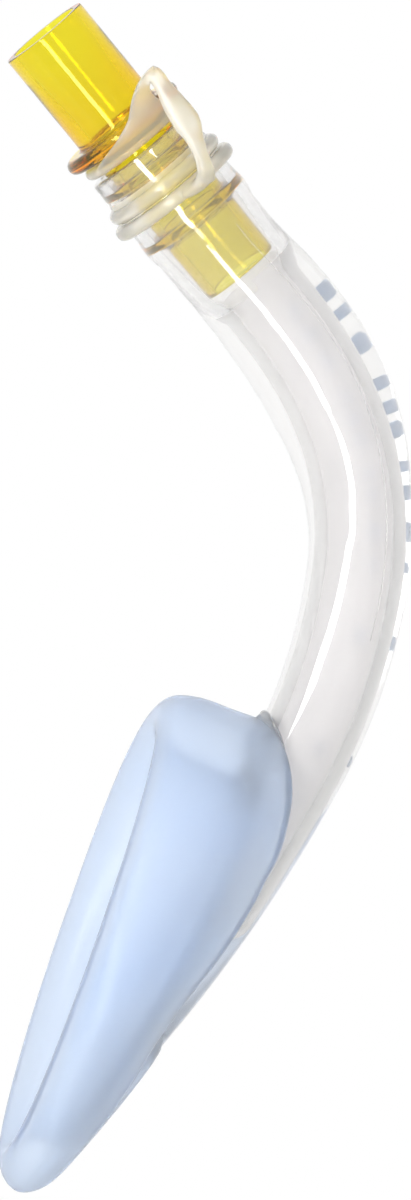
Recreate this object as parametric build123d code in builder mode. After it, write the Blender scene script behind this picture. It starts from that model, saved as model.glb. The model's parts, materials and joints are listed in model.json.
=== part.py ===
from build123d import *
import os
from math import cos, radians, sin

# A laryngeal mask airway: a 15 mm breathing connector pushed into a curved silicone tube, which
# opens into the bowl of a self-pressurising mask. A soft tether keeps the connector and the tube
# together. Millimetres, +Z up, as the airway hangs from a breathing circuit. The mid-plane is XZ,
# with +X towards the spine side of the tube. The origin is the centre of the cone's open end.

# ---- connector: stations are distances along its axis from the open end of the cone ----
AXIS_DIP = 50.0  # degrees below the horizontal
CONE_R = 7.73  # 15 mm male cone, its 1:40 taper (7.61 to 7.84 mm) straightened to the middle value
CONE_END = 18.8
CONE_BORE_R = 6.2
CONE_BORE_DEPTH = 9.5
FLANGE_R = 11.35
FLANGE_MID = 20.6
FLANGE_THICK = 2.6
NECK_R = 7.2
NIPPLE_R = 6.9
NIPPLE_BORE_R = 5.4
NIPPLE_START = 25.3
NIPPLE_END = 51.6
BARB_R = 7.9
BARB_LENGTH = 2.3
BARB_MIDS = (28.7, 39.5)

# ---- airway tube ----
RIM = 25.0  # station where the tube begins
RIM_R = 9.9
BEAD_MID = 31.5
BEAD_R = 11.25
BEAD_THICK = 2.5
RING_SEAT_R = 10.0  # outside of the tube under the tether's lower eye
BULGE_START = 36.4
BULGE_R = 10.3  # where the tube stretches over the second barb
SWELL = ((43.5, 9.8), (50.0, 9.8))  # station, radius of the tube between the bulge and the bends
SOCKET_R = 8.0  # 0.1 mm of room round the barbs
SOCKET_NECK_R = 7.1
SOCKET_NECK = 52.6
LUMEN_R = 5.5
LUMEN_START = 57.0
STRAIGHT = 62.0  # length of the tube's centre line before its first bend
BENDS = ((70.6, 8.2), (51.1, 40.1), (93.1, 20.6), (240.0, 12.5))  # radius, degrees
# distance along the bends, outer radius
TUBE_PROFILE = (
    (0.0, 10.4),
    (8.0, 10.6),
    (16.0, 10.4),
    (24.0, 9.7),
    (32.0, 9.0),
    (40.0, 8.6),
    (63.0, 8.5),
    (83.0, 8.2),
    (132.0, 7.9),
)
LUMEN_STOP = 27.0  # the lumen ends this far before the end of the keel

# ---- mask: distances along it start at its heel, depths start at the plane of the cuff's crest --
HEEL_X, HEEL_Z = 20.3, -107.9
MASK_LEAN = 19.4  # degrees between the mask's long axis and the vertical
CREST_DIP = 1.0
# along the mask, outer half-width, half-width between crests, depth of the front, depth of the back
CUFF_SECTIONS = (
    (0.0, 9.0, 4.5, 3.6, 17.4),
    (4.0, 14.0, 8.5, 0.6, 21.0),
    (11.0, 18.6, 12.6, 0.0, 23.8),
    (21.0, 21.2, 15.6, 0.0, 24.6),
    (34.0, 22.2, 16.6, 0.0, 21.8),
    (47.0, 22.6, 17.2, 0.0, 18.0),
    (58.0, 22.0, 16.8, 0.0, 15.4),
    (67.0, 19.6, 14.4, 0.0, 14.2),
    (75.0, 15.6, 10.6, 0.3, 12.7),
    (81.5, 11.0, 6.6, 1.3, 11.8),
    (86.5, 4.6, 2.4, 4.0, 9.6),
)
CUFF_WALL = 1.4
BOWL_PLAN = ((9.0, 0.0), (17.0, 8.4), (33.0, 10.9), (51.0, 11.4), (67.0, 7.9), (76.5, 0.0))
FLOOR_LINE = ((6.0, -19.4), (32.0, -16.6), (56.0, -12.4), (79.0, -8.2))  # along, height
PLATE_THICK = 2.0
PORT_R = 2.5
PORT_ALONG, PORT_DEPTH = 36.0, 8.0
KEYHOLE_START, KEYHOLE_NECK, KEYHOLE_END = 13.0, 26.0, 47.0
KEYHOLE_R, KEYHOLE_SLOT = 5.2, 5.0

# ---- tether: places are station, sideways in the mid-plane, and along Y ----
NECK_RING_MID = 23.25
NECK_RING_R = 9.8
NECK_RING_THICK = 2.0
NECK_ROOM = 0.15  # the eye turns on the connector's neck
TUBE_RING_MID = 34.2
TUBE_RING_R = 12.1
TUBE_RING_THICK = 2.4
STRAP_R = 1.25
STRAP_GAP = 0.2  # between the strap and the neck ring, which are on either side of the joint
STRAP_ROUTE = (
    (23.25, -0.8, -8.6),
    (23.0, -1.0, -13.4),
    (16.4, 3.4, -13.8),
    (14.2, 6.8, -12.9),
    (17.8, 8.2, -13.2),
    (25.6, 6.6, -14.4),
    (35.4, 3.8, -14.6),
    (34.4, 2.8, -11.0),
)
STRAP_BENDS = (1.6, 1.9, 1.5, 3.0, 4.0, 1.1)

# ---- printed depth ticks on the tube ----
TICK_STATIONS = tuple(70.0 + 5.5 * i for i in range(8)) + tuple(133.0 + 5.5 * i for i in range(4))
TICK_AROUND = 62.0  # degrees round the tube, from the side to the spine
TICK_SIZE = (1.0, 2.6)  # along the tube, round the tube
TICK_HEIGHT = 0.25

along = Vector(cos(radians(AXIS_DIP)), 0, -sin(radians(AXIS_DIP)))
across = Vector(sin(radians(AXIS_DIP)), 0, cos(radians(AXIS_DIP)))
toe = Vector(-sin(radians(MASK_LEAN)), 0, -cos(radians(MASK_LEAN)))
front = Vector(-cos(radians(MASK_LEAN)), 0, sin(radians(MASK_LEAN)))
heel = Vector(HEEL_X, 0, HEEL_Z)

spindle = Axis((0, 0, 0), along)
axial = Plane(origin=(0, 0, 0), x_dir=along, z_dir=(0, -1, 0))  # x is the station, y the radius
crest = Plane(origin=heel, x_dir=toe, z_dir=front)  # x runs along the mask
side = Plane(origin=heel, x_dir=toe, z_dir=(0, 1, 0))  # x runs along the mask, y out of the bowl


def by_axis(station, sideways, y):
    """The point at a station along the connector's axis, offset sideways and along Y."""
    return along * station + across * sideways + Vector(0, y, 0)


def write(piece, name):
    """Label a finished piece and write it as a STEP file."""
    piece.label = name
    export_step(piece, f"parts/{name}.step")


def ring_profile(mid, inner, outer, thick):
    """Sketch a ring's section with a full-round outer edge, in the axial plane."""
    round_r = thick / 2
    with Locations((mid, (inner + outer - round_r) / 2)):
        Rectangle(thick, outer - round_r - inner)
    with Locations((mid, outer - round_r)):
        Circle(round_r)


os.makedirs("parts", exist_ok=True)

# ---- connector: cone, round flange, neck and barbed nipple in one moulding ----
with BuildPart() as connector:
    with BuildSketch(axial):
        with BuildLine():
            Polyline(
                (0, 0),
                (0, CONE_R - 0.3),
                (0.3, CONE_R),
                (FLANGE_MID, CONE_R),
                (FLANGE_MID, NECK_R),
                (NIPPLE_START, NECK_R),
                (NIPPLE_START, NIPPLE_R),
                (NIPPLE_END - 0.3, NIPPLE_R),
                (NIPPLE_END, NIPPLE_R - 0.3),
                (NIPPLE_END, 0),
                close=True,
            )
        make_face()
        ring_profile(FLANGE_MID, NECK_R - 1, FLANGE_R, FLANGE_THICK)
        for mid in BARB_MIDS:
            with BuildLine():
                Polyline(
                    (mid - BARB_LENGTH / 2, NIPPLE_R - 0.5),
                    (mid - BARB_LENGTH / 2, BARB_R - 0.1),
                    (mid - BARB_LENGTH / 4, BARB_R),
                    (mid + BARB_LENGTH / 4, BARB_R),
                    (mid + BARB_LENGTH / 2, NIPPLE_R + 0.2),
                    (mid + BARB_LENGTH / 2, NIPPLE_R - 0.5),
                    close=True,
                )
            make_face()
    revolve(axis=spindle)
    with BuildSketch(axial):
        with BuildLine():
            Polyline(
                (-1, 0),
                (-1, CONE_BORE_R),
                (CONE_BORE_DEPTH, CONE_BORE_R),
                (CONE_BORE_DEPTH + 3.5, NIPPLE_BORE_R),
                (NIPPLE_END + 1, NIPPLE_BORE_R),
                (NIPPLE_END + 1, 0),
                close=True,
            )
        make_face()
    revolve(axis=spindle, mode=Mode.SUBTRACT)
write(connector.part, "connector")

# ---- centre line of the tube ----
with BuildLine(axial) as straight_run:
    Line((RIM, 0), (STRAIGHT, 0))
with BuildLine(Plane.XZ) as bend_run:
    bend_ends = [straight_run.line @ 1]
    heading = straight_run.line % 1
    for bend_radius, degrees in BENDS:
        bend = JernArc(bend_ends[-1], heading, bend_radius, -degrees)
        bend_ends.append(bend @ 1)
        heading = bend % 1
centre_line = bend_run.wire()
bend_length = centre_line.length


def tube_plane(distance):
    """The plane square to the tube at a distance along its bends. Its x points to the spine."""
    where = centre_line.position_at(distance, position_mode=PositionMode.LENGTH)
    tangent = centre_line.tangent_at(distance, position_mode=PositionMode.LENGTH)
    return Plane(origin=where, x_dir=(-tangent.Z, 0, tangent.X), z_dir=tangent)


def tube_radius(distance):
    """The tube's outer radius at a distance along its bends."""
    for (start, before), (end, after) in zip(TUBE_PROFILE, TUBE_PROFILE[1:]):
        if distance <= end:
            return before + (distance - start) / (end - start) * (after - before)
    return TUBE_PROFILE[-1][1]


def curved_tube(extra):
    """Loft the tube's bends as a solid, with its radius larger by extra."""
    count = 20
    with BuildPart() as form:
        for i in range(count + 1):
            distance = bend_length * i / count
            with BuildSketch(tube_plane(distance)):
                Circle(tube_radius(distance) + extra)
        loft()
    return form.part


tube_form = curved_tube(0)

# ---- outline of the mask ----


def cuff_form(inset):
    """Loft the mask's outer form, drawn in by inset on every side."""
    with BuildPart() as form:
        for place, half_width, half_crest, front_depth, back_depth in CUFF_SECTIONS:
            share = place / CUFF_SECTIONS[-1][0]
            section = Plane(
                origin=heel + toe * (place + inset * (1 - 2 * share)), x_dir=(0, 1, 0), z_dir=toe
            )
            wide, crested = half_width - inset, half_crest - inset / 2
            top, bottom = front_depth + inset, back_depth - inset
            deep = bottom - top
            with BuildSketch(section):
                with BuildLine():
                    back = Spline(
                        (crested, top),
                        (wide, top + deep * 0.3),
                        (wide * 0.86, top + deep * 0.64),
                        (wide * 0.44, bottom - deep * 0.035),
                        (0, bottom),
                        (-wide * 0.44, bottom - deep * 0.035),
                        (-wide * 0.86, top + deep * 0.64),
                        (-wide, top + deep * 0.3),
                        (-crested, top),
                    )
                    Spline(back @ 1, (0, top + CREST_DIP * crested / 17), back @ 0)
                make_face()
        loft()
    return form.part


def bowl_form(grow):
    """The bowl above its floor plate's back face, larger by grow to the sides and the back."""
    with BuildPart() as form:
        with BuildSketch(crest.offset(4)):
            with BuildLine():
                (first, _), *waist, (last, _) = BOWL_PLAN
                plan = ((first - grow, 0), *[(x, y + grow) for x, y in waist], (last + grow, 0))
                rise = Spline(*plan, tangents=((0, 1), (0, -1)))
                mirror(rise, about=Plane.XZ)
            make_face()
        extrude(amount=-30)
        with BuildSketch(side):
            with BuildLine():
                drop = PLATE_THICK + grow
                floor = Spline(*[(x, y - drop) for x, y in FLOOR_LINE])
                Polyline(floor @ 1, (79, 6), (6, 6), floor @ 0)
            make_face()
        extrude(amount=30, both=True, mode=Mode.INTERSECT)
    return form.part


bowl = bowl_form(0)
cuff_skin = cuff_form(0)

# ---- airway tube: socket, bends and keel in one moulding ----
with BuildPart() as airway_tube:
    with BuildSketch(axial):
        with BuildLine():
            rim = Polyline(
                (STRAIGHT, 0),
                (RIM, 0),
                (RIM, RIM_R - 0.4),
                (RIM + 0.4, RIM_R),
                (BULGE_START, RING_SEAT_R),
            )
            swell = Spline(
                (BULGE_START, RING_SEAT_R),
                (BARB_MIDS[1], BULGE_R),
                *SWELL,
                (STRAIGHT, TUBE_PROFILE[0][1]),
                tangents=((1, 0), (1, 0.03)),
            )
            Line(swell @ 1, rim @ 0)
        make_face()
        ring_profile(BEAD_MID, RIM_R - 1, BEAD_R, BEAD_THICK)
    revolve(axis=spindle)
    add(tube_form)
    with BuildSketch(axial):
        with BuildLine():
            Polyline(
                (RIM - 1, 0),
                (RIM - 1, SOCKET_R),
                (BARB_MIDS[1] + 2, SOCKET_R),
                (SOCKET_NECK, SOCKET_NECK_R),
                (LUMEN_START, LUMEN_R),
                (STRAIGHT, LUMEN_R),
                (STRAIGHT, 0),
                close=True,
            )
        make_face()
    revolve(axis=spindle, mode=Mode.SUBTRACT)
    with BuildSketch(tube_plane(0)):
        Circle(LUMEN_R)
    sweep(path=centre_line.trim(0, 1 - LUMEN_STOP / bend_length), mode=Mode.SUBTRACT)
    add(bowl, mode=Mode.SUBTRACT)
write(airway_tube.part, "airway_tube")

# ---- bowl plate: the mask's floor, with its keyhole outlet over the lumen ----
with BuildPart() as bowl_plate:
    add(bowl)
    with BuildSketch(side):
        with BuildLine():
            top_line = Spline(*FLOOR_LINE)
            Polyline(top_line @ 1, (79, 9), (6, 9), top_line @ 0)
        make_face()
    extrude(amount=30, both=True, mode=Mode.SUBTRACT)
    with BuildSketch(crest):
        with Locations(((KEYHOLE_START + KEYHOLE_NECK) / 2, 0)):
            SlotOverall(KEYHOLE_NECK - KEYHOLE_START + KEYHOLE_R, 2 * KEYHOLE_R)
        with Locations(((KEYHOLE_NECK + KEYHOLE_END) / 2, 0)):
            SlotOverall(KEYHOLE_END - KEYHOLE_NECK + KEYHOLE_SLOT, KEYHOLE_SLOT)
    extrude(amount=-30, mode=Mode.SUBTRACT)
write(bowl_plate.part, "bowl_plate")

# ---- cuff: a hollow ring, open to the bowl through two ports ----
with BuildPart() as cuff_air:
    add(cuff_form(CUFF_WALL))
    add(curved_tube(CUFF_WALL), mode=Mode.SUBTRACT)
    add(bowl_form(CUFF_WALL), mode=Mode.SUBTRACT)
with BuildPart() as cuff:
    add(cuff_skin)
    add(bowl, mode=Mode.SUBTRACT)
    add(tube_form, mode=Mode.SUBTRACT)
    add(cuff_air.part, mode=Mode.SUBTRACT)
    with BuildSketch(side):
        with Locations((PORT_ALONG, -PORT_DEPTH)):
            Circle(PORT_R)
    extrude(amount=14, both=True, mode=Mode.SUBTRACT)
write(cuff.part, "cuff")

# ---- bead of silicone adhesive where the cuff's heel meets the front of the tube ----
with BuildPart() as cuff_bond:
    add(curved_tube(1.1))
    with BuildSketch(side):
        with BuildLine():
            Polyline((-4.6, -14.8), (-2.6, -14.8), (8.6, -25.4), (6.4, -26.2), close=True)
        make_face()
    extrude(amount=30, both=True, mode=Mode.INTERSECT)
    add(tube_form, mode=Mode.SUBTRACT)
    add(cuff_skin, mode=Mode.SUBTRACT)
    add(bowl, mode=Mode.SUBTRACT)
write(cuff_bond.part, "cuff_bond")

# ---- printed ticks ----
with BuildPart() as depth_marks:
    for station in TICK_STATIONS:
        distance = station - STRAIGHT
        spin = radians(TICK_AROUND)
        middle = tube_plane(distance)
        outward = middle.y_dir * cos(spin) + middle.x_dir * sin(spin)
        face = middle.origin + outward * (tube_radius(distance) - 0.5)
        with BuildSketch(Plane(origin=face, x_dir=middle.z_dir, z_dir=outward)):
            Rectangle(*TICK_SIZE)
        extrude(amount=0.5 + TICK_HEIGHT)
    add(tube_form, mode=Mode.SUBTRACT)
write(depth_marks.part, "depth_marks")

# ---- tether: an eye on the connector's neck, a strap, and an eye on the tube ----
with BuildPart() as tether_neck_ring:
    with BuildSketch(axial):
        ring_profile(NECK_RING_MID, NECK_R + NECK_ROOM, NECK_RING_R, NECK_RING_THICK)
    revolve(axis=spindle)
write(tether_neck_ring.part, "tether_neck_ring")

with BuildPart() as tether_tube_ring:
    with BuildSketch(axial):
        ring_profile(TUBE_RING_MID, RING_SEAT_R + 0.02, TUBE_RING_R, TUBE_RING_THICK)
    revolve(axis=spindle)
write(tether_tube_ring.part, "tether_tube_ring")

with BuildPart() as tether_strap:
    with BuildLine() as strap_line:
        FilletPolyline(*[by_axis(*place) for place in STRAP_ROUTE], radius=STRAP_BENDS)
    with BuildSketch(Plane(origin=strap_line.wire() @ 0, z_dir=strap_line.wire() % 0)):
        Circle(STRAP_R)
    sweep()
    with BuildSketch(axial):
        ring_profile(NECK_RING_MID, NECK_R - 2, NECK_RING_R + STRAP_GAP, NECK_RING_THICK + 4 * STRAP_R)
    revolve(axis=spindle, mode=Mode.SUBTRACT)
    add(tether_tube_ring.part, mode=Mode.SUBTRACT)
write(tether_strap.part, "tether_strap")
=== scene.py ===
"""Looks of a laryngeal mask airway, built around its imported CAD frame.

The airway hangs from its 15 mm cone: an amber polysulfone connector, a curved clear silicone tube,
a pale blue hollow mask and a soft tether. Lengths inside the classes are millimetres.
"""

from __future__ import annotations

import json
import logging
import math
from collections.abc import Sequence
from dataclasses import dataclass, field
from enum import Enum

import bpy
import numpy as np
from mathutils import Matrix, Vector

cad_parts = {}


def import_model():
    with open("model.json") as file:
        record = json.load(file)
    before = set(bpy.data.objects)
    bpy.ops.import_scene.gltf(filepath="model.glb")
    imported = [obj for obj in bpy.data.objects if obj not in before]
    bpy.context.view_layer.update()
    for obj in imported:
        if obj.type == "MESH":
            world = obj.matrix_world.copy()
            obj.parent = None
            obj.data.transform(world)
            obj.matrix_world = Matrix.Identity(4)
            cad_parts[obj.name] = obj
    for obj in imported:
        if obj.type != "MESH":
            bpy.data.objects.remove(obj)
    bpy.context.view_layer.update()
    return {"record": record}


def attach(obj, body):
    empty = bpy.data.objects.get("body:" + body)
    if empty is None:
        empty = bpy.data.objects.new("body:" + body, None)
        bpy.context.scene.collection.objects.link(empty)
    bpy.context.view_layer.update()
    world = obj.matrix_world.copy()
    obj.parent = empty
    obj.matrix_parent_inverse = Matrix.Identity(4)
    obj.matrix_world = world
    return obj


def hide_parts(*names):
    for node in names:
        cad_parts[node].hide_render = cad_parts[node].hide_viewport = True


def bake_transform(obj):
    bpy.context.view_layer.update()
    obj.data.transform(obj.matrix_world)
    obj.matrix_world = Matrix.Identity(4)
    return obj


MM = 0.001
LOG = logging.getLogger("airway")
Array = np.ndarray


# ---------------------------------------------------------------- colours and shader nodes


def srgb(code: str) -> tuple[float, float, float, float]:
    """Turn a hex colour into linear RGBA.

    Args:
        code: the colour as six hex digits, in sRGB.

    Returns:
        The linear red, green and blue with an alpha of 1.
    """
    parts = [int(code[i : i + 2], 16) / 255 for i in (0, 2, 4)]
    linear = [c / 12.92 if c <= 0.04045 else ((c + 0.055) / 1.055) ** 2.4 for c in parts]
    return (*linear, 1.0)


def node(
    tree: bpy.types.NodeTree,
    kind: str,
    settings: dict[str, object] | None = None,
    inputs: dict[str | int, object] | None = None,
) -> bpy.types.Node:
    """Add a shader node with its settings, and its input values or links.

    Args:
        tree: the node tree that gets the node.
        kind: Blender's name of the node type, without "ShaderNode".
        settings: attributes of the node, by name.
        inputs: values, or output sockets to link, by input name or index.

    Returns:
        The new node.
    """
    new = tree.nodes.new("ShaderNode" + kind)
    for name, value in (settings or {}).items():
        setattr(new, name, value)
    for name, value in (inputs or {}).items():
        if isinstance(value, bpy.types.NodeSocket):
            tree.links.new(value, new.inputs[name])
        else:
            new.inputs[name].default_value = value
    return new


@dataclass(frozen=True)
class MouldedFinish:
    """A clear or milky moulded plastic or rubber, seen through its thickness."""

    name: str
    slot: str
    colour: str
    roughness: float
    ior: float
    transmission: float
    tint: str = "FFFFFF"  # what white light becomes deep inside
    tint_density: float = 0.0  # per metre
    skin_gloss: float = 0.0  # weight of the smooth outer skin
    skin_roughness: float = 0.05
    bump_mm: float = 0.0  # height of the mould's texture
    bump_scale_mm: float = 1.0  # spacing of the mould's texture
    mottle: str = ""  # the colour of its soft uneven patches
    mottle_mm: float = 16.0  # their size
    reflection: str = "FFFFFF"  # tint of what the surface mirrors head on
    scatter: float = 0.0
    scatter_mm: tuple[float, float, float] = (3.0, 3.0, 3.0)

    def build(self) -> bpy.types.Material:
        """Make the material.

        Returns:
            The finished node material.
        """
        material = bpy.data.materials.new(self.name)
        material.use_nodes = True
        tree = material.node_tree
        tree.nodes.clear()
        place = node(tree, "TexCoord").outputs["Object"]
        values: dict[str | int, object] = {
            "Base Color": srgb(self.colour),
            "Roughness": self.roughness,
            "IOR": self.ior,
            "Transmission Weight": self.transmission,
            "Coat Weight": self.skin_gloss,
            "Coat Roughness": self.skin_roughness,
            "Coat IOR": self.ior,
            "Specular Tint": srgb(self.reflection),
        }
        if self.scatter:
            values["Subsurface Weight"] = self.scatter
            values["Subsurface Radius"] = tuple(r * MM for r in self.scatter_mm)
            values["Subsurface Scale"] = 1.0
        if self.mottle:
            patches = node(
                tree,
                "TexNoise",
                inputs={"Vector": place, "Scale": 1 / (self.mottle_mm * MM), "Detail": 1.0},
            )
            blend = node(
                tree,
                "Mix",
                {"data_type": "RGBA"},
                {"Factor": patches.outputs["Fac"], 6: srgb(self.colour), 7: srgb(self.mottle)},
            )
            values["Base Color"] = blend.outputs[2]
        if self.bump_mm:
            grain = node(
                tree,
                "TexNoise",
                inputs={"Vector": place, "Scale": 1 / (self.bump_scale_mm * MM), "Detail": 2.0},
            )
            relief = node(
                tree,
                "Bump",
                inputs={
                    "Height": grain.outputs["Fac"],
                    "Distance": self.bump_mm * MM,
                    "Strength": 1.0,
                },
            )
            values["Normal"] = relief.outputs["Normal"]
        shader = node(tree, "BsdfPrincipled", inputs=values)
        output = node(tree, "OutputMaterial", inputs={"Surface": shader.outputs["BSDF"]})
        if self.tint_density:
            depth = node(
                tree,
                "VolumeAbsorption",
                inputs={"Color": srgb(self.tint), "Density": self.tint_density},
            )
            tree.links.new(depth.outputs["Volume"], output.inputs["Volume"])
        return material


class Finish(Enum):
    """The finishes of the airway, each named for its material and how it was made."""

    # Injection-moulded polysulfone: hard and glass-clear. Thin walls read lemon yellow, and long
    # paths through a wall or the flange turn orange-brown. The index is set below the resin's own
    # 1.63, and what it mirrors is tinted yellow, so that the edges stay light and the yellow pure.
    AMBER_POLYSULFONE = MouldedFinish(
        name="moulded_amber_polysulfone",
        slot="amber_polysulfone",
        colour="F5F6B4",
        roughness=0.015,
        ior=1.5,
        transmission=0.97,
        tint="FFFA00",
        tint_density=1500.0,
        skin_roughness=0.02,
        reflection="FFF08C",
        bump_mm=0.002,
        bump_scale_mm=6.0,
    )
    # Compression-moulded silicone rubber: clear but faintly milky, with a smooth glossy skin that
    # holds crisp highlights while what lies behind it goes soft. Silicone's own index is 1.41; the
    # silicones here are set a little below it, to keep their edges light.
    CLEAR_SILICONE = MouldedFinish(
        name="moulded_clear_silicone",
        slot="clear_silicone",
        colour="FAF9F8",
        roughness=0.09,
        ior=1.38,
        transmission=0.94,
        skin_gloss=1.0,
        skin_roughness=0.04,
        bump_mm=0.004,
        bump_scale_mm=5.0,
    )
    # The bore of the same moulding, frosted by its core pin.
    FROSTED_SILICONE = MouldedFinish(
        name="core_frosted_clear_silicone",
        slot="clear_silicone",
        colour="F6F4F4",
        roughness=0.42,
        ior=1.38,
        transmission=0.68,
        mottle="F1EFF0",
        mottle_mm=12.0,
        bump_mm=0.01,
        bump_scale_mm=0.9,
    )
    # Where that moulding is thickest, at the bead that grips the tether: cream and hazy, with its
    # skin still glossy.
    THICK_SILICONE = MouldedFinish(
        name="thick_hazed_clear_silicone",
        slot="clear_silicone",
        colour="FDF5E4",
        roughness=0.3,
        ior=1.32,
        transmission=0.74,
        skin_gloss=1.0,
        skin_roughness=0.06,
        scatter=0.6,
        scatter_mm=(5.0, 4.4, 3.6),
    )
    # The same rubber with more filler: a milky, waxy white that glows at thin edges.
    MILKY_SILICONE = MouldedFinish(
        name="moulded_milky_silicone",
        slot="milky_silicone",
        colour="FDF5E4",
        roughness=0.3,
        ior=1.32,
        transmission=0.74,
        scatter=0.7,
        scatter_mm=(5.0, 4.4, 3.6),
        skin_gloss=0.7,
        skin_roughness=0.2,
        bump_mm=0.02,
        bump_scale_mm=1.6,
    )
    # Thin dip-moulded silicone with a pale blue pigment: satin, hazy, deeper blue where the eye
    # looks along the wall. Its index is far below silicone's own 1.41, because the light crosses
    # the hollow cuff's skins many times and a true index turns its edges grey.
    BLUE_SILICONE = MouldedFinish(
        name="moulded_blue_silicone",
        slot="blue_silicone",
        colour="F6F9FC",
        roughness=0.42,
        ior=1.17,
        transmission=0.86,
        tint="93C4F6",
        tint_density=60.0,
        skin_gloss=0.7,
        skin_roughness=0.22,
        mottle="E8F0FB",
        mottle_mm=18.0,
        bump_mm=0.02,
        bump_scale_mm=4.0,
    )
    # Pad-printed silicone ink: a matt light blue.
    PRINTED_INK = MouldedFinish(
        name="pad_printed_blue_ink",
        slot="blue_ink",
        colour="ECF3FD",
        roughness=0.6,
        ior=1.38,
        transmission=0.72,
        mottle="D6E4F9",
        mottle_mm=1.2,
        bump_mm=0.008,
        bump_scale_mm=0.4,
    )

    def material(self) -> bpy.types.Material:
        """Get the finish's material, made at its first use."""
        made = bpy.data.materials.get(self.value.name)
        return made or self.value.build()


# ---------------------------------------------------------------- mesh helpers


@dataclass
class ShellMesh:
    """Collects closed shells of quads, and turns them into one mesh object."""

    points: list[Array] = field(default_factory=list)
    faces: list[tuple[int, ...]] = field(default_factory=list)

    def add(self, loops: Sequence[Array], ring: bool = False, void: bool = False) -> None:
        """Add one closed shell, skinned over closed loops of equal length.

        Args:
            loops: the loops in order, each an array of points in mm.
            ring: join the last loop to the first, instead of capping both.
            void: the shell bounds a hollow inside another shell, so it faces inwards.
        """
        count, size = len(loops), len(loops[0])
        base = sum(len(p) for p in self.points)
        stack = np.concatenate(loops)
        faces: list[tuple[int, ...]] = []
        for i in range(count if ring else count - 1):
            a, b = i * size, (i + 1) % count * size
            for j in range(size):
                k = (j + 1) % size
                faces.append((a + j, a + k, b + k, b + j))
        if not ring:
            last = (count - 1) * size
            faces.append(tuple(range(size - 1, -1, -1)))
            faces.append(tuple(last + j for j in range(size)))
        volume = 0.0
        for f in faces:
            for j in range(1, len(f) - 1):
                volume += np.dot(stack[f[0]], np.cross(stack[f[j]], stack[f[j + 1]]))
        if (volume < 0) != void:
            faces = [tuple(reversed(f)) for f in faces]
        self.points.append(stack)
        self.faces += [tuple(base + v for v in f) for f in faces]

    def build(self, name: str, sharp_deg: float = 40.0) -> bpy.types.Object:
        """Make the object, smooth except along its sharp edges.

        Args:
            name: the piece's name.
            sharp_deg: edges that turn by more than this stay sharp.

        Returns:
            The new object, linked to the scene.
        """
        mesh = bpy.data.meshes.new(name)
        mesh.from_pydata((np.concatenate(self.points) * MM).tolist(), [], self.faces)
        mesh.update()
        smooth(mesh, sharp_deg)
        piece = bpy.data.objects.new(name, mesh)
        bpy.context.scene.collection.objects.link(piece)
        return piece


def smooth(mesh: bpy.types.Mesh, sharp_deg: float = 40.0) -> None:
    """Shade a mesh smooth, with its edges above an angle kept sharp."""
    mesh.shade_smooth()
    mesh.set_sharp_from_angle(angle=math.radians(sharp_deg))


def settle(piece: bpy.types.Object, sharp_deg: float = 40.0) -> None:
    """Apply a piece's modifiers to its mesh.

    Args:
        piece: the object, whose modifiers are applied and removed.
        sharp_deg: edges that turn by more than this stay sharp.
    """
    graph = bpy.context.evaluated_depsgraph_get()
    done = bpy.data.meshes.new_from_object(piece.evaluated_get(graph))
    piece.modifiers.clear()
    old = piece.data
    piece.data = done
    bpy.data.meshes.remove(old)
    smooth(done, sharp_deg)


def fillet(corners: Sequence[tuple[float, float, float]], steps: int = 6) -> list[tuple[float, float]]:
    """Round the corners of a closed outline.

    Args:
        corners: each corner's two coordinates and the radius that rounds it.
        steps: the number of segments of each arc.

    Returns:
        The points of the rounded outline.
    """
    out: list[tuple[float, float]] = []
    count = len(corners)
    for i, (x, y, radius) in enumerate(corners):
        here = np.array((x, y))
        before = np.array(corners[i - 1][:2]) - here
        after = np.array(corners[(i + 1) % count][:2]) - here
        reach_in, reach_out = np.linalg.norm(before), np.linalg.norm(after)
        before, after = before / reach_in, after / reach_out
        half = math.acos(max(-1.0, min(1.0, float(before @ after)))) / 2
        if radius <= 0 or half < 1e-3 or half > math.pi / 2 - 1e-3:
            out.append((x, y))
            continue
        cut = min(radius / math.tan(half), 0.49 * reach_in, 0.49 * reach_out)
        bend = cut * math.tan(half)
        middle = here + (before + after) / np.linalg.norm(before + after) * (bend / math.sin(half))
        start, end = here + before * cut - middle, here + after * cut - middle
        turn = math.acos(max(-1.0, min(1.0, float(start @ end) / bend**2)))
        for j in range(steps + 1):
            share = j / steps
            arm = (math.sin((1 - share) * turn) * start + math.sin(share * turn) * end) / math.sin(turn)
            out.append(tuple(middle + arm))
    return out


def support(
    outline: Sequence[tuple[float, float]], gap: float = 1.6, edge: float = 0.05
) -> list[tuple[float, float]]:
    """Add points to the long straights of a closed outline, so that they shade flat.

    Args:
        outline: the outline's points.
        gap: the widest spacing that stays.
        edge: how close to a straight's ends its first and last new points lie.

    Returns:
        The outline with its extra points.
    """
    out: list[tuple[float, float]] = []
    for i, start in enumerate(outline):
        end = outline[(i + 1) % len(outline)]
        reach = math.dist(start, end)
        out.append(tuple(start))
        if reach > 6 * edge:
            inner = max(1, math.ceil((reach - 2 * edge) / gap))
            for f in np.linspace(edge / reach, 1 - edge / reach, inner + 1):
                out.append((start[0] + (end[0] - start[0]) * f, start[1] + (end[1] - start[1]) * f))
    return out


def eased(x: float, places: Sequence[float], values: Sequence[float], reach: float = 4.0) -> float:
    """Read a table with its corners rounded over a reach each way."""
    return float(np.interp(x + np.linspace(-reach, reach, 9), places, values).mean())


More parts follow.
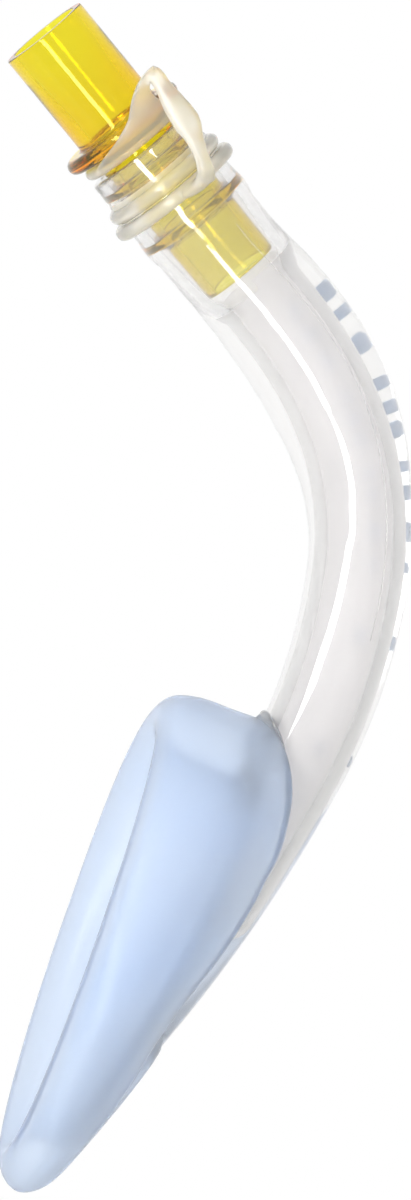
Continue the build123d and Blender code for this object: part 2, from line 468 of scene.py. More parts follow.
def curve_through(points: Sequence[Sequence[float]], samples: int, closed: bool = False) -> Array:
    """Run a smooth curve through points.

    Args:
        points: the points, of any dimension.
        samples: the number of points returned.
        closed: join the last point to the first.

    Returns:
        Points spaced along a centripetal Catmull-Rom spline.
    """
    knots = np.array(points, float)
    if closed:
        knots = np.concatenate([knots[-1:], knots, knots[:2]])
    else:
        knots = np.concatenate([2 * knots[:1] - knots[1:2], knots, 2 * knots[-1:] - knots[-2:-1]])
    spans = len(knots) - 3
    where = np.linspace(0, spans, samples, endpoint=not closed)
    out = []
    for w in where:
        i = min(int(w), spans - 1)
        f = w - i
        p = knots[i : i + 4]
        step = np.sqrt(np.linalg.norm(np.diff(p, axis=0), axis=1)).clip(1e-6)
        t0, t1, t2, t3 = 0.0, step[0], step[0] + step[1], step.sum()
        t = t1 + f * (t2 - t1)
        a1 = ((t1 - t) * p[0] + (t - t0) * p[1]) / (t1 - t0)
        a2 = ((t2 - t) * p[1] + (t - t1) * p[2]) / (t2 - t1)
        a3 = ((t3 - t) * p[2] + (t - t2) * p[3]) / (t3 - t2)
        b1 = ((t2 - t) * a1 + (t - t0) * a2) / (t2 - t0)
        b2 = ((t3 - t) * a2 + (t - t1) * a3) / (t3 - t1)
        out.append(((t2 - t) * b1 + (t - t1) * b2) / (t2 - t1))
    return np.array(out)


def thread(route: Array, radius: float | Array, sides: int = 10) -> list[Array]:
    """Wrap a route in round loops.

    Args:
        route: the points of the middle line.
        radius: one radius, or one for each point.
        sides: the number of points in a loop.

    Returns:
        One loop for each point of the route.
    """
    radii = np.broadcast_to(radius, len(route))
    tangents = np.gradient(route, axis=0)
    tangents /= np.linalg.norm(tangents, axis=1)[:, None]
    up = np.cross(tangents[0], (0.3, 0.2, 0.9))
    loops = []
    for point, tangent, r in zip(route, tangents, radii):
        up = up - tangent * (up @ tangent)
        up /= np.linalg.norm(up)
        side = np.cross(tangent, up)
        turn = np.linspace(0, 2 * math.pi, sides, endpoint=False)[:, None]
        loops.append(point + r * (np.cos(turn) * up + np.sin(turn) * side))
    return loops


# ---------------------------------------------------------------- the airway's own geometry


@dataclass
class Spindle:
    """The connector's axis: stations run along it from the open end of the cone."""

    along: Array
    across: Array

    @classmethod
    def from_record(cls, record: dict) -> Spindle:
        """Read the axis from the record's cone mount."""
        mount = next(m for m in record["mounts"] if m["name"] == "circuit_cone")
        along = -np.array(mount["axis"], float)
        return cls(along, np.array((-along[2], 0.0, along[0])))

    def at(self, station: float, sideways: float = 0.0, y: float = 0.0) -> Array:
        """Find the point at a station, offset sideways in the mid-plane and along Y."""
        return self.along * station + self.across * sideways + np.array((0.0, y, 0.0))

    def lathe(self, outline: Sequence[tuple[float, float]], sides: int = 144) -> list[Array]:
        """Turn an outline of stations and radii about the axis.

        Args:
            outline: the points of the section.
            sides: the number of points round the axis.

        Returns:
            One loop for each point of the outline.
        """
        turn = np.linspace(0, 2 * math.pi, sides, endpoint=False)[:, None]
        spoke = np.cos(turn) * self.across + np.sin(turn) * np.array((0.0, -1.0, 0.0))
        return [self.along * station + radius * spoke for station, radius in outline]


@dataclass
class TubeLine:
    """Centre line of the tube: straight with the connector, then four arcs in the mid-plane."""

    spindle: Spindle
    rim: float = 25.0
    straight: float = 62.0
    bends: tuple[tuple[float, float], ...] = ((70.6, 8.2), (51.1, 40.1), (93.1, 20.6), (240.0, 12.5))
    # station, outer radius
    profile: tuple[tuple[float, float], ...] = (
        (42.5, 9.85),
        (46.0, 9.75),
        (50.0, 9.8),
        (56.0, 10.15),
        (62.0, 10.45),
        (70.0, 10.6),
        (78.0, 10.4),
        (86.0, 9.72),
        (94.0, 9.0),
        (102.0, 8.6),
        (125.0, 8.5),
        (145.0, 8.2),
        (166.0, 8.1),
        (194.0, 7.9),
    )
    # station, how far the middle lies off the arcs, towards the spine
    sway: tuple[tuple[float, float], ...] = ((48.0, 0.0), (57.0, 0.45), (65.0, 0.25), (78.0, 0.0))

    def __post_init__(self) -> None:
        """Work out where each arc starts."""
        self.starts = [self.straight]
        for radius, degrees in self.bends:
            self.starts.append(self.starts[-1] + radius * math.radians(degrees))
        self.end = self.starts[-1]

    def frame(self, station: float) -> tuple[Array, Array, Array]:
        """Find the tube's middle, direction and spine side at a station.

        Args:
            station: the distance along the centre line from the cone's open end.

        Returns:
            The middle in mm, the unit direction, and the unit vector towards the spine.
        """
        direction, spine = self.spindle.along, self.spindle.across
        middle = direction * min(station, self.straight)
        for (radius, degrees), start in zip(self.bends, self.starts):
            if station <= start:
                break
            turn = min((station - start) / radius, math.radians(degrees))
            hub = middle - spine * radius
            spine, direction = (
                spine * math.cos(turn) + direction * math.sin(turn),
                direction * math.cos(turn) - spine * math.sin(turn),
            )
            middle = hub + spine * radius
        if station > self.end:
            middle = middle + direction * (station - self.end)
        middle = middle + spine * float(np.interp(station, *zip(*self.sway)))
        return middle, direction, spine

    def radius(self, station: float) -> float:
        """Find the tube's outer radius at a station below the connector's barbs."""
        return float(np.interp(station, *zip(*self.profile)))

    def point(self, station: float, around: float, out: float = 0.0) -> Array:
        """Find a point on the tube's surface.

        Args:
            station: the distance along the centre line.
            around: degrees round the tube from the front, over the -Y side, to the spine.
            out: how far outside the surface.

        Returns:
            The point in mm.
        """
        middle, _, spine = self.frame(station)
        turn = math.radians(around)
        spoke = -spine * math.cos(turn) + np.array((0.0, -1.0, 0.0)) * math.sin(turn)
        return middle + spoke * (self.radius(station) + out)

    def loop(self, station: float, radius: float, sides: int = 96) -> Array:
        """Circle the centre line at a station."""
        middle, _, spine = self.frame(station)
        turn = np.linspace(0, 2 * math.pi, sides, endpoint=False)[:, None]
        return middle + radius * (np.cos(turn) * spine + np.sin(turn) * np.array((0.0, -1.0, 0.0)))


@dataclass
class Connector:
    """The 15 mm connector: cone, round flange, neck and barbed nipple."""

    spindle: Spindle
    cone_r: float = 7.73
    cone_bore_r: float = 6.2
    bore_taper: tuple[float, float] = (5.0, 14.5)  # where the cone's bore narrows to the nipple's
    bore_r: float = 5.4
    flange: tuple[float, float, float] = (20.6, 11.35, 2.6)  # middle, radius, thickness
    neck_r: float = 7.2
    neck_end: float = 25.3
    nipple_r: float = 6.9
    nipple_end: float = 51.6
    barbs: tuple[float, float] = (28.7, 39.5)
    barb_r: float = 7.98
    barb_length: float = 2.3

    def outline(self) -> list[tuple[float, float]]:
        """Draw the wall's section, with its moulded radii."""
        middle, rim, thick = self.flange
        low, high = middle - thick / 2, middle + thick / 2
        corners = [
            (0.0, self.cone_bore_r, 0.25),
            (0.0, self.cone_r, 0.3),
            (low, self.cone_r, 0.6),
            (low, rim, thick * 0.48),
            (high, rim, thick * 0.48),
            (high, self.neck_r, 0.4),
            (self.neck_end, self.neck_r, 0.2),
            (self.neck_end, self.nipple_r, 0.1),
        ]
        for barb in self.barbs:
            half = self.barb_length / 2
            corners += [
                (barb - half, self.nipple_r, 0.15),
                (barb - half, self.barb_r, 0.35),
                (barb + half * 0.4, self.barb_r, 0.5),
                (barb + half, self.nipple_r, 0.4),
            ]
        corners += [
            (self.nipple_end, self.nipple_r, 0.3),
            (self.nipple_end, self.bore_r, 0.2),
            (self.bore_taper[1], self.bore_r, 12.0),
            (self.bore_taper[0], self.cone_bore_r, 12.0),
        ]
        return fillet(corners)

    def build(self) -> bpy.types.Object:
        """Lathe and dress the connector."""
        shell = ShellMesh()
        shell.add(self.spindle.lathe(support(self.outline())), ring=True)
        piece = shell.build("connector_moulding", 30)
        return dress(piece, Finish.AMBER_POLYSULFONE, "connector", ["connector"])


@dataclass
class Mask:
    """The mask: a hollow cuff round a bowl, with a floor plate and a keyhole outlet.

    Places are along the mask from its heel, sideways along Y, and deep from the crest plane.
    """

    line: TubeLine
    heel: Array
    lean: float = 19.4
    length: float = 87.0
    sides: int = 176
    ring: int = 72
    wall: float = 1.25
    plate: float = 2.0

    def __post_init__(self) -> None:
        """Set the mask's own directions."""
        lean = math.radians(self.lean)
        self.toe = np.array((-math.sin(lean), 0.0, -math.cos(lean)))
        self.deep = np.array((math.cos(lean), 0.0, -math.sin(lean)))

    def at(self, along: float, y: float, deep: float) -> Array:
        """Turn a place on the mask into a point."""
        return self.heel + self.toe * along + self.deep * deep + np.array((0.0, y, 0.0))

    def place(self, point: Array) -> tuple[float, float, float]:
        """Turn a point into a place on the mask."""
        arm = point - self.heel
        return float(arm @ self.toe), float(arm[1]), float(arm @ self.deep)

    def oval(
        self, turn: float, first: float, last: float, half: float, square: float
    ) -> tuple[float, float]:
        """Find a place on an egg-shaped outline.

        Args:
            turn: radians from the heel, positive on the -Y side.
            first: where the outline starts along the mask.
            last: where it ends.
            half: its half-width.
            square: how much the heel's shoulders stand out, in mm.

        Returns:
            The place along the mask and sideways.
        """
        share = (1 - math.cos(turn)) / 2
        shoulder = square * max(0.0, 1 - share / 0.42) ** 1.3
        return first + (last - first) * share, -(half + shoulder) * math.sin(turn)

    def floor(self, along: float) -> float:
        """Find the depth of the bowl's floor."""
        return eased(along, (0.0, 6.0, 32.0, 56.0, 79.0, 84.0), (19.8, 19.4, 16.6, 12.4, 8.2, 7.4))

    def back_depth(self, along: float) -> float:
        """Find how deep the cuff's skin reaches."""
        places = (0, 4, 11, 21, 34, 47, 58, 67, 75, 81.5, 87)
        depths = (17.4, 21.0, 23.8, 24.6, 21.8, 18.0, 15.4, 13.8, 12.2, 11.2, 10.4)
        return eased(along, places, depths, 3.0)

    def seam(self, turn: float) -> Array:
        """Find where the cuff's skin ends on the tube, or on the keel at the toe.

        Args:
            turn: radians from the heel, positive on the -Y side.

        Returns:
            The point in mm.
        """
        share = (1 - math.cos(turn)) / 2
        station = self.seam_start + (self.seam_end - self.seam_start) * share
        middle_x, _, middle_d = self.place(self.line.frame(station)[0])
        wanted = self.back_depth(middle_x) - 0.9
        radius = self.line.radius(station)
        around = math.degrees(math.acos(max(-1.0, min(1.0, (middle_d - wanted) / radius))))
        around *= min(1.0, share / 0.02) ** 0.5
        closing = max(0.0, (share - 0.93) / 0.07)
        around += (180.0 - around) * closing
        return self.line.point(station, math.copysign(around, math.sin(turn)))

    @property
    def seam_end(self) -> float:
        """Station of the tube where the toe of the cuff closes behind the keel."""
        return self.line.end - 1.0

    @property
    def seam_start(self) -> float:
        """Station of the tube where its front meets the heel of the cuff."""
        stations = np.linspace(self.line.straight, self.line.end, 400)
        fronts = [self.place(self.line.point(s, 0))[0] for s in stations]
        return float(np.interp(-0.4, fronts, stations))

    def section(self, turn: float) -> Array:
        """Draw the cuff's section at an angle round the mask.

        Args:
            turn: radians from the heel, positive on the -Y side.

        Returns:
            A closed loop of points in mm.
        """
        crest_x, crest_y = self.oval(turn, 5.0, 82.0, 17.2, 4.0)
        wide_x, wide_y = self.oval(turn, 0.0, self.length, 22.7, 6.5)
        wall_x, wall_y = self.oval(turn, 11.0, 76.5, 11.4, 0.0)
        seam = self.seam(turn)
        seam_x, seam_y, seam_d = self.place(seam)
        depth = self.back_depth(wide_x)
        floor = self.floor(wall_x)
        toe = min(1.0, max(0.0, ((1 - math.cos(turn)) / 2 - 0.35) / 0.35))
        tip = max(0.0, ((1 - math.cos(turn)) / 2 - 0.8) / 0.2) ** 1.5
        near, far = 0.12 - 0.05 * tip, 0.5 - 0.16 * tip
        low_x, low_y = wide_x + (seam_x - wide_x) * near, wide_y + (seam_y - wide_y) * near
        lower_x, lower_y = wide_x + (seam_x - wide_x) * far, wide_y + (seam_y - wide_y) * far
        under = self.back_depth(lower_x)
        lowest = under + max(0.0, seam_d - under) * (1 - toe) + 0.3
        points = [
            self.at(crest_x, crest_y, 0.0),
            self.at((crest_x + wide_x) / 2 + (wide_x - crest_x) * 0.22,
                    (crest_y + wide_y) / 2 + (wide_y - crest_y) * 0.22, 1.7),
            self.at(wide_x, wide_y, depth * (0.32 + 0.12 * tip)),
            self.at(low_x, low_y, depth * (0.7 + 0.08 * tip)),
            self.at(lower_x, lower_y, lowest),
            seam,
            self.at(seam_x + (wall_x - seam_x) * 0.35, seam_y + (wall_y - seam_y) * 0.35,
                    min(seam_d - 0.8, floor + self.plate + 2.0)),
            self.at(wall_x, wall_y, floor + 1.0),
            self.at(wall_x, wall_y, floor * 0.5),
            self.at((wall_x + crest_x) / 2 - (crest_x - wall_x) * 0.2,
                    (wall_y + crest_y) / 2 - (crest_y - wall_y) * 0.2, 1.9),
        ]
        return curve_through(points, self.ring, closed=True)

    def build_cuff(self) -> bpy.types.Object:
        """Skin and dress the hollow cuff."""
        turns = np.linspace(-math.pi, math.pi, self.sides, endpoint=False)
        skins = [self.section(t) for t in turns]
        voids = []
        for loop in skins:
            along = np.roll(loop, -1, axis=0) - np.roll(loop, 1, axis=0)
            axis = np.cross(loop - loop.mean(axis=0), along).sum(axis=0)
            inward = np.cross(axis, along)
            inward /= np.linalg.norm(inward, axis=1)[:, None]
            hollow = loop + inward * self.wall
            for _ in range(6):
                hollow = (np.roll(hollow, 1, axis=0) + 2 * hollow + np.roll(hollow, -1, axis=0)) / 4
            voids.append(hollow)
        shell = ShellMesh()
        shell.add(skins, ring=True)
        shell.add(voids, ring=True, void=True)
        piece = shell.build("cuff_skin", 75)
        return dress(piece, Finish.BLUE_SILICONE, "airway", ["cuff"])

    def build_plate(self) -> bpy.types.Object:
        """Make and dress the bowl's floor, an oval plate with a keyhole."""
        loops = []
        turns = np.linspace(-math.pi, math.pi, 120, endpoint=False)
        outer = [self.oval(t, 8.6, 76.9, 11.8, 0.0) for t in turns]
        inner = [self.keyhole(t) for t in turns]
        for share, lift in ((0.0, 0.0), (0.06, 0.0), (0.5, 0.0), (0.94, 0.0), (1.0, 0.5)):
            loops.append([self.between(o, i, share, lift) for o, i in zip(outer, inner)])
        back = self.plate
        for share, lift in ((1.0, back - 0.5), (0.94, back), (0.06, back), (0.0, back)):
            loops.append([self.between(o, i, share, lift) for o, i in zip(outer, inner)])
        shell = ShellMesh()
        shell.add([np.array(loop) for loop in loops], ring=True)
        return dress(shell.build("bowl_floor", 50), Finish.BLUE_SILICONE, "airway", ["bowl_plate"])

    def keyhole(self, turn: float) -> tuple[float, float]:
        """Find a place on the outlet's keyhole: round at the heel, a slot towards the toe."""
        share = (1 - math.cos(turn)) / 2
        along = 13.0 + 34.0 * share
        wide = float(np.interp(share, (0.0, 0.25, 0.5, 0.62, 1.0), (5.6, 6.3, 4.4, 2.6, 2.6)))
        corner = min(1.0, abs(math.sin(turn)) * 1.6)
        return along, -math.copysign(wide * corner, math.sin(turn))

    def between(
        self, outer: tuple[float, float], inner: tuple[float, float], share: float, lift: float
    ) -> Array:
        """Find a point of the plate between its rim and its keyhole.

        Args:
            outer: place on the rim.
            inner: place on the keyhole.
            share: 0 at the rim, 1 at the keyhole.
            lift: depth below the floor's face.

        Returns:
            The point in mm.
        """
        along = outer[0] + (inner[0] - outer[0]) * share
        y = outer[1] + (inner[1] - outer[1]) * share
        return self.at(along, y, self.floor(along) + lift)

    def bowl_cutter(self) -> bpy.types.Object:
        """Make the solid that opens the tube into the bowl."""
        turns = np.linspace(-math.pi, math.pi, 96, endpoint=False)
        rim = [self.oval(t, 8.8, 76.7, 11.6, 0.0) for t in turns]
        loops = [
            np.array([self.at(x, y, -6.0) for x, y in rim]),
            np.array([self.at(x, y, self.floor(x) + self.plate + 0.05) for x, y in rim]),
        ]
        shell = ShellMesh()
        shell.add(loops)
        return shell.build("bowl_cutter")

    def build_bond(self) -> bpy.types.Object:
        """Lay the clear bead of adhesive round the heel of the cuff."""
        turns = np.linspace(-0.74, 0.74, 60)
        route = []
        for t in turns:
            share = (1 - math.cos(t)) / 2
            seam = self.seam(t)
            middle, direction, _ = self.line.frame(self.seam_start + 66 * share)
            outward = (seam - middle) / np.linalg.norm(seam - middle)
            route.append(seam - direction * 0.7 + outward * 0.1)
        shares = np.linspace(-1, 1, len(turns))
        radii = 0.85 * np.sqrt(np.clip(1 - np.abs(shares) ** 14, 0.02, 1))
        shell = ShellMesh()
        shell.add(thread(np.array(route), radii, 14))
        return dress(shell.build("cuff_bond_bead"), Finish.CLEAR_SILICONE, "airway", ["cuff_bond"])


@dataclass
class AirwayTube:
    """The silicone tube, from the socket for the connector to its keel behind the mask."""

    spindle: Spindle
    line: TubeLine
    mask: Mask
    rim_r: float = 9.9
    bead: tuple[float, float, float] = (31.5, 11.25, 2.5)  # middle, radius, thickness
    socket_r: float = 7.95
    lumen_r: float = 5.5
    lumen_stop: float = 20.5
    frost_from: float = 54.0  # past here the lumen is frosted by its core pin
    haze_to: float = 34.0  # up to here the raised bead is hazy
    spine_deg: float = 238.0  # where round the tube the marks lie
    # station, half-length, reach round the tube in degrees, lean
    marks: tuple[tuple[float, float, float, float], ...] = (
        (63.5, 1.3, 9.0, 0.2),
        (67.6, 0.9, 12.0, -0.2),
        (72.4, 1.5, 8.0, 0.3),
        (78.6, 0.8, 10.0, 0.0),
        (82.0, 0.9, 12.0, 0.2),
        (85.4, 1.2, 9.0, -0.1),
        (90.6, 0.8, 11.0, 0.0),
        (94.4, 1.1, 8.0, 0.2),
        (100.2, 1.4, 10.0, 0.0),
        (105.4, 0.8, 7.0, 0.1),
        (117.0, 1.2, 9.0, 0.0),
        (136.0, 1.0, 8.0, 0.1),
    )

    def outside(self) -> list[tuple[float, float]]:
        """List the outer stations and radii, from the rim to the keel's end."""
        middle, top, thick = self.bead
        half = thick / 2
        rows = [(self.line.rim, self.rim_r - 0.5), (self.line.rim + 0.12, self.rim_r - 0.15)]
        rows += [(self.line.rim + 0.5, self.rim_r), (middle - half - 0.9, self.rim_r + 0.04)]
        rows += [(middle - half - 0.2, self.rim_r + 0.18)]
        for i in range(13):
            turn = math.pi * i / 12
            rows.append((middle - half * math.cos(turn), top - half + half * math.sin(turn)))
        rows += [(middle + half + 0.2, 10.15), (36.0, 10.0), (37.3, 10.08)]
        rows += [(38.4, 10.24), (39.5, 10.3), (40.6, 10.24), (41.7, 10.03)]
        rows += [(s, self.line.radius(s)) for s in np.linspace(42.6, self.line.end, 150)]
        return rows + [(self.line.end + 0.3, self.line.radius(self.line.end) - 0.5)]

    def inside(self) -> list[tuple[float, float]]:
        """List the inner stations and radii, from the lumen's end back to the rim."""
        stop = self.line.end - self.lumen_stop
        rows = []
        for i in range(8):
            turn = math.radians(10 + 80 * i / 7)
            rows.append((stop - self.lumen_r * (1 - math.cos(turn)), self.lumen_r * math.sin(turn)))
        rows += [(s, self.lumen_r) for s in np.linspace(rows[-1][0] - 1.5, 58.0, 90)]
        rows += [(57.0, 5.55), (55.0, 6.2), (53.0, 6.95), (52.0, 7.12), (48.0, 7.4), (44.0, 7.75)]
        for i in range(28):
            rows.append((41.5 - 16.0 * i / 27, self.socket_r))
        return rows + [(self.line.rim, self.socket_r + 0.3)]

    def build(self) -> bpy.types.Object:
        """Skin the tube, open it into the bowl, and dress it."""
        shell = ShellMesh()
        shell.add([self.line.loop(s, r) for s, r in self.inside() + self.outside()])
        piece = shell.build("tube_moulding", 40)
        cutter = self.mask.bowl_cutter()
        cut = piece.modifiers.new("bowl", "BOOLEAN")
        cut.operation = "DIFFERENCE"
        cut.solver = "EXACT"
        cut.object = cutter
        settle(piece, 40)
        bpy.data.objects.remove(cutter)
        dress(piece, Finish.CLEAR_SILICONE, "airway", ["airway_tube"])
        self.frost(piece)
        return piece

    def frost(self, piece: bpy.types.Object) -> None:
        """Give the faces of the lumen and the bowl's cut the frosted finish, and the bead its haze."""
        piece.data.materials.append(Finish.FROSTED_SILICONE.material())
        piece.data.materials.append(Finish.THICK_SILICONE.material())
        stations = np.linspace(self.line.rim, self.line.end, 400)
        middles = np.array([self.line.frame(s)[0] for s in stations])
        for face in piece.data.polygons:
            gaps = np.linalg.norm(middles - np.array(face.center) / MM, axis=1)
            nearest = int(gaps.argmin())
            inner = gaps[nearest] < self.line.radius(stations[nearest]) - 0.8
            face.material_index = int(inner and stations[nearest] > self.frost_from)
            if stations[nearest] < self.haze_to and gaps[nearest] > self.rim_r + 0.1:
                face.material_index = 2

    def build_parting_line(self) -> bpy.types.Object:
        """Lay the fine flash ridge that the mould leaves along the tube."""
        route = np.array([self.line.point(s, 108.0) for s in np.linspace(44.0, 118.0, 110)])
        shell = ShellMesh()
        shell.add(thread(route, 0.09, 8))
        return dress(shell.build("tube_parting_line"), Finish.CLEAR_SILICONE, "airway", [])

    def build_ticks(self) -> bpy.types.Object:
        """Print a row of plain uneven marks along the spine of the tube."""
        shell = ShellMesh()
        turns = np.linspace(0, 2 * math.pi, 40, endpoint=False)
        for station, half, reach, lean in self.marks:
            loops = []
            for out in (-0.02, 0.05):
                edge = []
                for t in turns:
                    x, y = (math.copysign(abs(v) ** 0.6, v) for v in (math.cos(t), math.sin(t)))
                    ripple = 1 + 0.08 * math.sin(3 * t + station) + 0.05 * math.sin(7 * t + 2 * station)
                    place = station + half * ripple * x + lean * y
                    edge.append(self.line.point(place, self.spine_deg + reach * ripple * y, out))
                loops.append(np.array(edge))
            shell.add(loops)
        return dress(shell.build("depth_scale", 60), Finish.PRINTED_INK, "airway", ["depth_marks"])


@dataclass
class Tether:
    """The soft tether: an eye on the connector's neck, a strap, and an eye on the tube."""

    spindle: Spindle
    neck_ring: tuple[float, float, float, float] = (23.25, 7.35, 9.8, 2.0)  # middle, inner, outer, thick
    tube_ring: tuple[float, float, float, float] = (34.2, 10.02, 12.1, 2.4)
    grain: float = 0.26  # size of the remeshed faces
    # station, sideways, y, width, thickness
    strap: tuple[tuple[float, float, float, float, float], ...] = (
        (34.3, 1.0, -11.0, 6.4, 2.2),
        (34.7, 2.2, -13.0, 4.4, 2.3),
        (34.0, 3.4, -14.7, 3.2, 2.3),
        (31.6, 4.5, -15.3, 2.6, 2.1),
        (28.6, 5.5, -15.3, 3.1, 2.2),
        (25.3, 6.4, -15.0, 5.0, 2.7),
        (21.6, 6.8, -14.6, 4.4, 2.5),
        (18.2, 7.3, -14.2, 3.1, 2.0),
        (16.2, 7.5, -13.8, 3.0, 2.0),
        (15.4, 7.0, -13.5, 2.9, 2.0),
    )
    # station, left edge, right edge, distance from the axis, thickness
    web: tuple[tuple[float, float, float, float, float], ...] = (
        (14.75, 6.6, 7.9, 15.3, 1.0),
        (15.1, 4.9, 8.6, 15.1, 1.7),
        (15.9, 3.1, 7.7, 14.6, 1.6),
        (17.3, 1.2, 5.7, 13.6, 1.3),
        (19.0, -0.6, 5.7, 12.8, 1.2),
        (20.5, -3.9, 6.6, 12.1, 1.15),
        (21.6, -7.2, 7.4, 11.3, 1.2),
        (22.4, -8.6, 7.7, 10.2, 1.4),
        (23.2, -8.3, 7.4, 9.1, 1.6),
    )

    def ring_outline(self, sizes: tuple[float, float, float, float]) -> list[tuple[float, float]]:
        """Draw the rounded section of one eye."""
        middle, inner, outer, thick = sizes
        half = thick / 2
        corners = [(middle - half, inner, 0.3), (middle - half, outer, half * 0.98)]
        corners += [(middle + half, outer, half * 0.98), (middle + half, inner, 0.3)]
        return support(fillet(corners))

    def strap_loops(self) -> list[Array]:
        """Loft the strap, with its width lying round the connector."""
        rows = curve_through(self.strap, 110)
        route = np.array([self.spindle.at(*row[:3]) for row in rows])
        tangents = np.gradient(route, axis=0)
        loops = []
        for row, middle, tangent in zip(rows, route, tangents):
            tangent = tangent / np.linalg.norm(tangent)
            foot = self.spindle.along * float(middle @ self.spindle.along)
            spoke = (middle - foot) / np.linalg.norm(middle - foot)
            wide = np.cross(tangent, spoke)
            if np.linalg.norm(wide) < 0.5:
                wide = np.cross(self.spindle.along, spoke)
            wide = wide - tangent * (wide @ tangent)
            wide /= np.linalg.norm(wide)
            thin = np.cross(tangent, wide)
            turn = np.linspace(0, 2 * math.pi, 28, endpoint=False)[:, None]
            round_x = np.sign(np.cos(turn)) * np.abs(np.cos(turn)) ** 0.8
            round_y = np.sign(np.sin(turn)) * np.abs(np.sin(turn)) ** 0.8
            loops.append(middle + wide * round_x * row[3] / 2 + thin * round_y * row[4] / 2)
        return loops

    def web_loops(self) -> list[Array]:
        """Loft the thin web that flares from the strap's bend down to the eye on the neck."""
        loops = []
        for station, left, right, reach, thick in curve_through(self.web, 60):
            half = thick / 2
            span = (right - left) / 2
            edge = []
            for turn in np.linspace(0, 2 * math.pi, 60, endpoint=False):
                sideways = (left + right) / 2 - span * math.cos(turn)
                bulge = half * np.sign(math.sin(turn)) * abs(math.sin(turn)) ** 0.35
                radius = reach + bulge
                depth = math.sqrt(max(radius**2 - sideways**2, 1.0))
                edge.append(self.spindle.at(station, sideways, -depth))
            loops.append(np.array(edge))
        return loops

    def build(self) -> bpy.types.Object:
        """Mould both eyes, the strap and the web into one piece, and dress it."""
        shell = ShellMesh()
        shell.add(self.spindle.lathe(self.ring_outline(self.neck_ring), 120), ring=True)
        shell.add(self.spindle.lathe(self.ring_outline(self.tube_ring), 120), ring=True)
        shell.add(self.strap_loops())
        shell.add(self.web_loops())
        piece = shell.build("tether_moulding")
        merge = piece.modifiers.new("merge", "REMESH")
        merge.mode = "VOXEL"
        merge.voxel_size = self.grain * MM
        ease = piece.modifiers.new("ease", "SMOOTH")
        ease.factor = 0.5
        ease.iterations = 8
        settle(piece, 180)
        start = self.spindle.at(self.neck_ring[0] + 1.0) * MM
        end = self.spindle.at(self.tube_ring[0] - 1.4) * MM
        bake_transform(piece)
        nodes = ["tether_neck_ring", "tether_strap", "tether_tube_ring"]
        return dress(piece, Finish.MILKY_SILICONE, None, nodes)


def dress(
    piece: bpy.types.Object, finish: Finish, body: str | None, nodes: Sequence[str]
) -> bpy.types.Object:
    """Give a piece its finish, its body, and the CAD nodes that it stands for.

    Args:
        piece: the object.
        finish: what it is made of.
        body: the CAD body that it rides on, or None to leave it unattached.
        nodes: the CAD nodes that it replaces.

    Returns:
        The same object.
    """
    piece.data.materials.clear()
    piece.data.materials.append(finish.material())
    if body:
        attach(piece, body)
    if nodes:
        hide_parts(*nodes)
    LOG.info("%s: %d faces, %s", piece.name, len(piece.data.polygons), finish.value.name)
    return piece


# ---------------------------------------------------------------- the studio


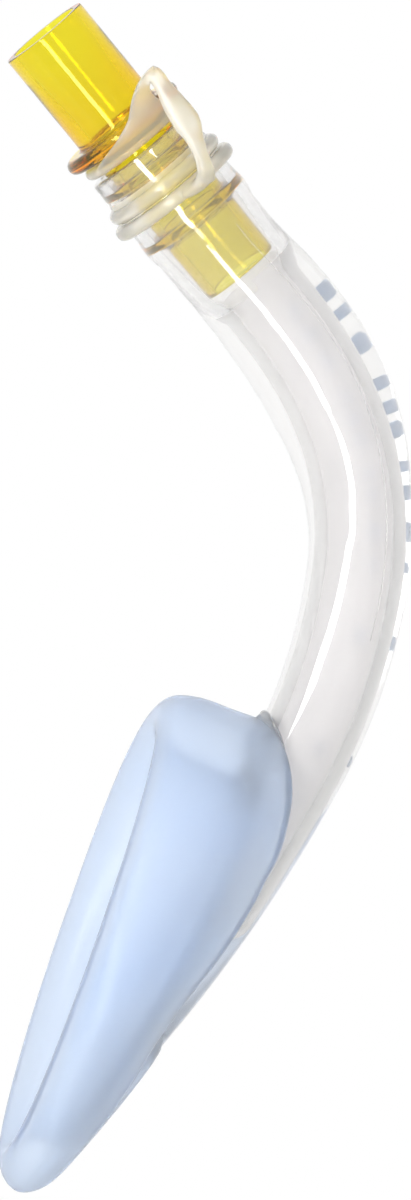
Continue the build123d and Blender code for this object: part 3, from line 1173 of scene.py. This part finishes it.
@dataclass
class Studio:
    """A white studio: soft boxes, a pale floor and a long lens."""

    target: Vector
    azimuth: float = -11.0
    distance: float = 2.0
    view_height: float = 0.1987
    floor_z: float = -0.216
    floor_radius: float = 0.3

    def toward(self, azimuth: float, elevation: float) -> Vector:
        """Find the direction to a place round the object, azimuth 0 being the -Y side."""
        a, e = math.radians(azimuth), math.radians(elevation)
        return Vector((math.sin(a) * math.cos(e), -math.cos(a) * math.cos(e), math.sin(e)))

    def camera(self) -> None:
        """Set the camera at the picture's viewing angle."""
        lens = bpy.data.cameras.new("camera")
        lens.sensor_fit = "VERTICAL"
        lens.sensor_height = 36.0
        lens.lens = 36.0 * self.distance / self.view_height
        lens.clip_end = 20.0
        camera = bpy.data.objects.new("camera", lens)
        away = self.toward(self.azimuth, 0)
        camera.location = self.target + away * self.distance
        camera.rotation_euler = (-away).to_track_quat("-Z", "Y").to_euler()
        bpy.context.scene.collection.objects.link(camera)
        bpy.context.scene.camera = camera

    def softbox(
        self,
        name: str,
        azimuth: float,
        elevation: float,
        size: tuple[float, float],
        power: float,
        roll: float = 0.0,
    ) -> None:
        """Hang a rectangular soft box that faces the object.

        Args:
            name: the light's name.
            azimuth: degrees round the object.
            elevation: degrees above the horizon.
            size: width and height in metres.
            power: watts.
            roll: degrees that its top leans to the right, as the object sees it.
        """
        lamp = bpy.data.lights.new(name, "AREA")
        lamp.shape = "RECTANGLE"
        lamp.size, lamp.size_y = size
        lamp.energy = power
        light = bpy.data.objects.new(name, lamp)
        away = self.toward(azimuth, elevation)
        light.location = self.target + away
        turn = (-away).to_track_quat("-Z", "Y").to_matrix() @ Matrix.Rotation(math.radians(roll), 3, "Z")
        light.rotation_euler = turn.to_euler()
        bpy.context.scene.collection.objects.link(light)

    def surroundings(self) -> None:
        """Paint the room: white behind the airway, a little darker on the camera's side."""
        world = bpy.data.worlds.new("white_room")
        world.use_nodes = True
        tree = world.node_tree
        tree.nodes.clear()
        place = node(tree, "TexCoord").outputs["Generated"]
        depth = node(tree, "SeparateXYZ", inputs={"Vector": place}).outputs["Y"]
        spread = node(tree, "MapRange", inputs={"Value": depth, "From Min": -0.5, "From Max": 0.3})
        ramp = node(tree, "ValToRGB", inputs={"Fac": spread.outputs["Result"]})
        ramp.color_ramp.elements[0].color = srgb("DADBDD")
        ramp.color_ramp.elements[1].color = srgb("FFFFFF")
        dim = node(tree, "Background", inputs={"Color": ramp.outputs["Color"], "Strength": 1.0})
        plain = node(tree, "Background", inputs={"Color": srgb("FFFFFF"), "Strength": 1.0})
        seen = node(tree, "LightPath").outputs["Is Camera Ray"]
        mixed = node(tree, "MixShader", inputs={0: seen, 1: dim.outputs[0], 2: plain.outputs[0]})
        node(tree, "OutputWorld", inputs={"Surface": mixed.outputs[0]})
        bpy.context.scene.world = world
        bpy.context.scene.view_settings.view_transform = "Standard"

    def floor(self) -> None:
        """Lay a round pale floor under the hanging airway."""
        turn = np.linspace(0, 2 * math.pi, 96, endpoint=False)
        disc = np.stack([np.cos(turn), np.sin(turn), np.zeros_like(turn)], 1)
        hub = np.array((self.target.x, self.target.y, 0.0)) / MM
        shell = ShellMesh()
        top = hub + disc * self.floor_radius / MM + np.array((0, 0, self.floor_z / MM))
        shell.add([top, top - np.array((0, 0, 4.0))])
        board = shell.build("pale_floor")
        finish = MouldedFinish(
            "matt_white_board", "", "F4F4F2", 0.8, 1.45, 0.0, bump_mm=0.05, bump_scale_mm=3.0
        )
        board.data.materials.append(finish.build())

    def build(self) -> None:
        """Set up everything that isn't the object."""
        self.surroundings()
        self.floor()
        self.camera()
        self.softbox("strip_left", -34, 1, (0.17, 1.1), 11.0, roll=44)
        self.softbox("window_front", -8, 22, (0.12, 0.16), 1.2)


def main() -> None:
    """Build the airway piece by piece, then the studio."""
    logging.basicConfig(level=logging.INFO, format="%(name)s: %(message)s")
    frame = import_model()
    spindle = Spindle.from_record(frame["record"])
    line = TubeLine(spindle)
    mask = Mask(line, heel=np.array((20.3, 0.0, -107.9)))
    tube = AirwayTube(spindle, line, mask)
    Connector(spindle).build()
    tube.build()
    tube.build_parting_line()
    tube.build_ticks()
    mask.build_cuff()
    mask.build_plate()
    mask.build_bond()
    Tether(spindle).build()
    Studio(Vector((0.02724, 0.0, -0.0938))).build()


if __name__ == "__main__":
    main()
